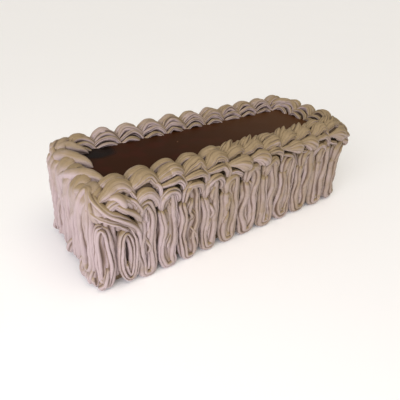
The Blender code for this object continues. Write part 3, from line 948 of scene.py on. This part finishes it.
class CAKE_OT_set_stage(bpy.types.Operator):
    """Set the table, the light and the camera"""
    bl_idname = "cake.set_stage"
    bl_label = "Set Stage"

    def execute(self, context):
        settings = context.scene.cake_stage
        self.lay_table(settings)
        self.hang_lights(settings)
        self.stand_camera(context, settings)
        context.scene.view_settings.view_transform = "Standard"
        return {"FINISHED"}

    def lay_table(self, settings):
        bm = bmesh.new()
        bmesh.ops.create_grid(bm, x_segments=1, y_segments=1, size=TABLE_REACH)
        mesh = bpy.data.meshes.new("table")
        bm.to_mesh(mesh)
        bm.free()
        mesh.materials.append(table_material(settings))
        table = bpy.data.objects.new("table", mesh)
        bpy.context.scene.collection.objects.link(table)

    def hang_lights(self, settings):
        world = bpy.data.worlds.new("room")
        world.use_nodes = True
        background = world.node_tree.nodes["Background"]
        background.inputs["Color"].default_value = ROOM_TINT
        background.inputs["Strength"].default_value = settings.haze
        bpy.context.scene.world = world
        self.hang_lamp("near_window", "AREA", settings.near_light, "size", *NEAR_LAMP)
        self.hang_lamp("window", "SUN", settings.daylight, "angle", *WINDOW)
        self.hang_lamp("ceiling", "SUN", settings.ceiling, "angle", *CEILING)

    def hang_lamp(self, name, kind, energy, softness, place, target, colour, spread):
        """A lamp that points at its target. Softness names the value that holds its spread."""
        light = bpy.data.lights.new(name, kind)
        light.energy = energy
        light.color = colour
        setattr(light, softness, spread)
        lamp = bpy.data.objects.new(name, light)
        lamp.location = place
        lamp.rotation_euler = (Vector(target) - lamp.location).to_track_quat("-Z", "Y").to_euler()
        bpy.context.scene.collection.objects.link(lamp)

    def stand_camera(self, context, settings):
        camera = bpy.data.cameras.new("camera")
        camera.lens = settings.lens
        camera.sensor_width = SENSOR_WIDTH
        camera.shift_x, camera.shift_y = settings.shift
        camera.clip_start, camera.clip_end = CLIPPING
        stand = bpy.data.objects.new("camera", camera)
        level = math.cos(settings.elevation)
        back = Vector((math.sin(settings.azimuth) * level, -math.cos(settings.azimuth) * level,
                       math.sin(settings.elevation)))
        facing = (-back).to_track_quat("-Z", "Y").to_matrix().to_4x4()
        roll = Matrix.Rotation(settings.roll, 4, "Z")
        stand.matrix_world = Matrix.Translation(settings.place) @ facing @ roll
        bpy.context.scene.collection.objects.link(stand)
        context.scene.camera = stand


# Materials.


# How rough all noise is, and how far apart the streaks of two strokes lie in it.
NOISE_ROUGHNESS = 0.55
STROKE_SHIFT = 40.0

# Sizes of the cream's details.
PATCH_SIZE = 14 * MM
PORE_SIZE = 0.9 * MM
STREAK_WIDTH = 0.9 * MM
STREAK_LENGTH = 14 * MM

# Where the cream turns tan, from and to: along the cake, and up the sides and the border. The tan is painted
# light: warm light from above on the top, and the light falling off towards the right. Behind the far edge of
# the glaze it gets less of this and is pinker, from and to along the cake and across it.
TAN_ALONG = (-165 * MM, 0.0)
TAN_UP_SIDES = (28 * MM, 78 * MM)
TAN_UP_BORDER = (72 * MM, 88 * MM)
PINK_ALONG = (-128 * MM, -100 * MM)
PINK_ACROSS = (-10 * MM, 42 * MM)


class Signal:
    """An output of a shader node. Arithmetic on it adds Math nodes."""

    def __init__(self, maker, socket):
        self.maker = maker
        self.socket = socket

    def math(self, operation, *values):
        return self.maker.node("ShaderNodeMath", {"operation": operation}, dict(enumerate(values)))

    def __add__(self, other):
        return self.math("ADD", self, other)

    def __sub__(self, other):
        return self.math("SUBTRACT", self, other)

    def __rsub__(self, other):
        return self.math("SUBTRACT", other, self)

    def __mul__(self, other):
        return self.math("MULTIPLY", self, other)

    __radd__ = __add__
    __rmul__ = __mul__

    def clamped(self):
        return self.maker.node("ShaderNodeClamp", {}, {"Value": self})


class Finish:
    """A material that is being made, with its one Principled shader."""

    def __init__(self, name, **constants):
        self.material = bpy.data.materials.new(name)
        self.material.use_nodes = True
        self.tree = self.material.node_tree
        self.shader = self.tree.nodes["Principled BSDF"]
        for socket, value in constants.items():
            self.shader.inputs[socket.replace("_", " ")].default_value = value

    def node(self, kind, settings, inputs, output=0):
        made = self.tree.nodes.new(kind)
        for setting, value in settings.items():
            setattr(made, setting, value)
        for socket, value in inputs.items():
            self.plug(made.inputs[socket], value)
        return Signal(self, made.outputs[output])

    def plug(self, socket, value):
        if isinstance(value, Signal):
            self.tree.links.new(value.socket, socket)
        elif hasattr(value, "__len__") and socket.type == "RGBA":
            socket.default_value = (*value, 1)
        else:
            socket.default_value = value

    def drive(self, socket, value):
        self.plug(self.shader.inputs[socket], value)

    def attribute(self, name):
        return self.node("ShaderNodeAttribute", {"attribute_name": name}, {}, "Fac")

    def place(self):
        return self.node("ShaderNodeTexCoord", {}, {}, "Object")

    def axis(self, name):
        """Place along one axis of the cake."""
        return self.node("ShaderNodeSeparateXYZ", {}, {0: self.place()}, name)

    def upward(self):
        """How far the surface faces up: 1 on top, 0 on an upright wall."""
        normal = self.node("ShaderNodeTexCoord", {}, {}, "Normal")
        return self.node("ShaderNodeSeparateXYZ", {}, {0: normal}, "Z")

    def distance(self, place):
        """How far the surface is from a place in the cake."""
        return self.node("ShaderNodeVectorMath", {"operation": "DISTANCE"}, {
            0: self.place(), 1: place}, "Value")

    def noise(self, size, detail=3.0):
        """Noise whose lumps are about this size, from 0 to 1."""
        return self.node("ShaderNodeTexNoise", {}, {
            "Vector": self.place(), "Scale": 1 / size, "Detail": detail, "Roughness": NOISE_ROUGHNESS}, "Fac")

    def streaks(self, width, length):
        """Noise drawn out along the strokes, from 0 to 1."""
        vector = self.node("ShaderNodeCombineXYZ", {}, {
            0: self.attribute("around") * (1 / width), 1: self.attribute("run") * (1 / length),
            2: self.attribute("stroke") * STROKE_SHIFT})
        return self.node("ShaderNodeTexNoise", {}, {"Vector": vector, "Scale": 1.0, "Detail": 2.0}, "Fac")

    def ramp(self, value, low, high):
        """0 below the low value, 1 above the high one, and smooth between."""
        return self.node("ShaderNodeMapRange", {"interpolation_type": "SMOOTHSTEP"}, {
            "Value": value, "From Min": low, "From Max": high})

    def mix(self, factor, first, second):
        """The first colour turned into the second by the factor."""
        return self.node("ShaderNodeMix", {"data_type": "RGBA"}, {0: factor, 6: first, 7: second}, 2)

    def bump(self, height, distance, strength):
        bumped = self.node("ShaderNodeBump", {}, {
            "Height": height, "Distance": distance, "Strength": strength}, "Normal")
        self.drive("Normal", bumped)


def cream_finish(name, colour, painted_shade_colour, light_and_tone_colour, top_range):
    """Whipped chocolate cream: painted shade in its grooves, uneven from stroke to stroke, with fine pores,
    and pink at the left end of the cake. Painted light turns it tan on up-facing parts and towards the top,
    where warm light falls from above, and towards the right, where the light falls off."""
    finish = Finish(name, Metallic=0.0)
    groove = finish.attribute("groove")
    stroke = finish.attribute("stroke")
    patches = finish.noise(PATCH_SIZE)
    pores = finish.noise(PORE_SIZE, 2.0)
    streaks = finish.streaks(STREAK_WIDTH, STREAK_LENGTH)
    # Painted light: facing, rise and far paint the tan of warm light from above and of the light falling off
    # towards the right; back takes some of it away behind the glaze.
    facing = finish.ramp(finish.upward(), 0.0, 0.8)
    rise = finish.ramp(finish.axis("Z"), *top_range)
    far = finish.ramp(finish.axis("X"), *TAN_ALONG)
    inner = finish.ramp(finish.axis("X"), *PINK_ALONG)
    back = inner * finish.ramp(finish.axis("Y") + 0.1 * finish.axis("X"), *PINK_ACROSS)
    uneven = 0.45 * (stroke - 0.5) + 0.8 * (patches - 0.5) + 0.5 * (streaks - 0.5)
    tan = (0.85 * facing + 0.14 * rise + 0.45 * far - 0.6 * back + uneven).clamped()
    shade = finish.mix(tan, colour, light_and_tone_colour)
    # Painted shade: darker in the grooves and on strands that carry a shadow, with a little tone from the
    # pores.
    depth = (finish.ramp(groove, 0.05, 0.3) * 0.82 + 0.08 * (pores - 0.5)).clamped()
    finish.drive("Base Color", finish.mix(depth, shade, painted_shade_colour))
    finish.drive("Roughness", 0.46 + 0.16 * pores)
    finish.bump(streaks + 0.4 * pores, 0.5 * MM, 0.6)
    return finish.material


def side_cream_material(settings):
    return cream_finish("side_cream", settings.colour, settings.groove_shade_colour, settings.tan_light_and_tone_colour,
                        TAN_UP_SIDES)


def border_cream_material(settings):
    return cream_finish("shell_cream", settings.colour, settings.hollow_shade_colour, settings.tan_light_and_tone_colour,
                        TAN_UP_BORDER)


def coat_material(settings):
    """The thin coat under the piping, seen only deep between the strands, in the painted groove shade mixed
    with the tan.
    """
    finish = Finish("thin_coat", Metallic=0.0)
    smears = finish.noise(6 * MM)
    # Painted shade: the coat takes the groove shade colour, mixed by smears with the tan.
    finish.drive("Base Color", finish.mix(smears, settings.groove_shade_colour, settings.tan_light_and_tone_colour))
    finish.drive("Roughness", 0.6 + 0.2 * smears)
    finish.bump(smears, 0.5 * MM, 0.4)
    return finish.material


# Middle of the thick dark pool of glaze at the back-left corner, and a pale fleck on the glaze.
# Each fades in from the first of its reaches to the second.
POOL_PLACE = (-107 * MM, 30 * MM, 83 * MM)
POOL_REACHES = (20 * MM, 12 * MM)
FLECK_PLACE = (-35 * MM, 8 * MM, 83 * MM)
FLECK_REACHES = (2 * MM, 1 * MM)

# Where the glaze turns from dark to the warm painted sheen along the cake, and the size of its dull specks.
SHEEN_ALONG = (-80 * MM, 140 * MM)
SPECK_SIZE = 1.6 * MM


def glaze_material(settings):
    """Set chocolate glaze: dark and glossy, with a painted sheen that makes it lighter and warmer towards
    the right, with dull specks, a dark pool and a pale fleck."""
    finish = Finish("dark_glaze", Metallic=0.0, Specular_IOR_Level=0.03)
    pools = finish.noise(45 * MM, 2.0)
    specks = finish.ramp(finish.noise(SPECK_SIZE, 1.0), 0.7, 0.82)
    # Painted sheen: lighter and warmer towards the right.
    thin = finish.ramp(finish.axis("X") + 0.09 * (pools - 0.5), *SHEEN_ALONG)
    blush = 0.5 * finish.ramp(finish.noise(18 * MM, 1.0), 0.48, 0.7)
    dark = finish.mix(blush, settings.colour, settings.blush_colour)
    pool = 0.95 * finish.ramp(finish.distance(POOL_PLACE) + 0.03 * (pools - 0.5), *POOL_REACHES)
    shade = finish.mix(pool, finish.mix(thin, dark, settings.sheen_colour), settings.pool_colour)
    ragged = 2 * MM * (finish.noise(SPECK_SIZE, 1.0) - 0.5)
    pale = 0.55 * finish.ramp(finish.distance(FLECK_PLACE) + ragged, *FLECK_REACHES)
    finish.drive("Base Color", finish.mix(pale, shade, settings.fleck_colour))
    finish.drive("Roughness", settings.roughness + 0.1 * pools + 0.15 * specks - 0.16 * pool)
    finish.bump(pools + 0.06 * specks + 0.6 * pool, 0.8 * MM, 0.25)
    return finish.material


def table_material(settings):
    finish = Finish("pale_table", Metallic=0.0, Roughness=0.7)
    cloud = finish.noise(0.4, 2.0)
    pale = list(settings.floor_colour)
    finish.drive("Base Color", finish.mix(cloud, pale, [c * 0.98 for c in pale]))
    return finish.material


# The panel and the run.


class CAKE_PT_panel(bpy.types.Panel):
    bl_idname = "CAKE_PT_panel"
    bl_label = "Iced Roll Cake"
    bl_space_type = "VIEW_3D"
    bl_region_type = "UI"
    bl_category = "Cake"

    def draw(self, context):
        for name, operators in PANEL_PARTS:
            box = self.layout.box()
            settings = getattr(context.scene, name)
            for key in settings.__annotations__:
                box.prop(settings, key)
            for operator in operators:
                box.operator(operator.bl_idname)


SETTINGS = {
    "cake_cream": CreamSettings,
    "cake_border": BorderSettings,
    "cake_glaze": GlazeSettings,
    "cake_stage": StageSettings,
}
PANEL_PARTS = (
    ("cake_cream", (CAKE_OT_coat_core, CAKE_OT_pipe_sides)),
    ("cake_border", (CAKE_OT_pipe_border,)),
    ("cake_glaze", (CAKE_OT_pour_glaze,)),
    ("cake_stage", (CAKE_OT_set_stage,)),
)
OPERATORS = [operator for _, operators in PANEL_PARTS for operator in operators]
CLASSES = (*SETTINGS.values(), *OPERATORS, CAKE_PT_panel)


def register():
    for cls in CLASSES:
        bpy.utils.register_class(cls)
    for name, group in SETTINGS.items():
        setattr(bpy.types.Scene, name, PointerProperty(type=group))


def unregister():
    for name in SETTINGS:
        delattr(bpy.types.Scene, name)
    for cls in reversed(CLASSES):
        bpy.utils.unregister_class(cls)


def main():
    register()
    bpy.ops.cake.coat_core()
    bpy.ops.cake.pipe_sides()
    bpy.ops.cake.pipe_border()
    bpy.ops.cake.pour_glaze()
    bpy.ops.cake.set_stage()


if __name__ == "__main__":
    main()
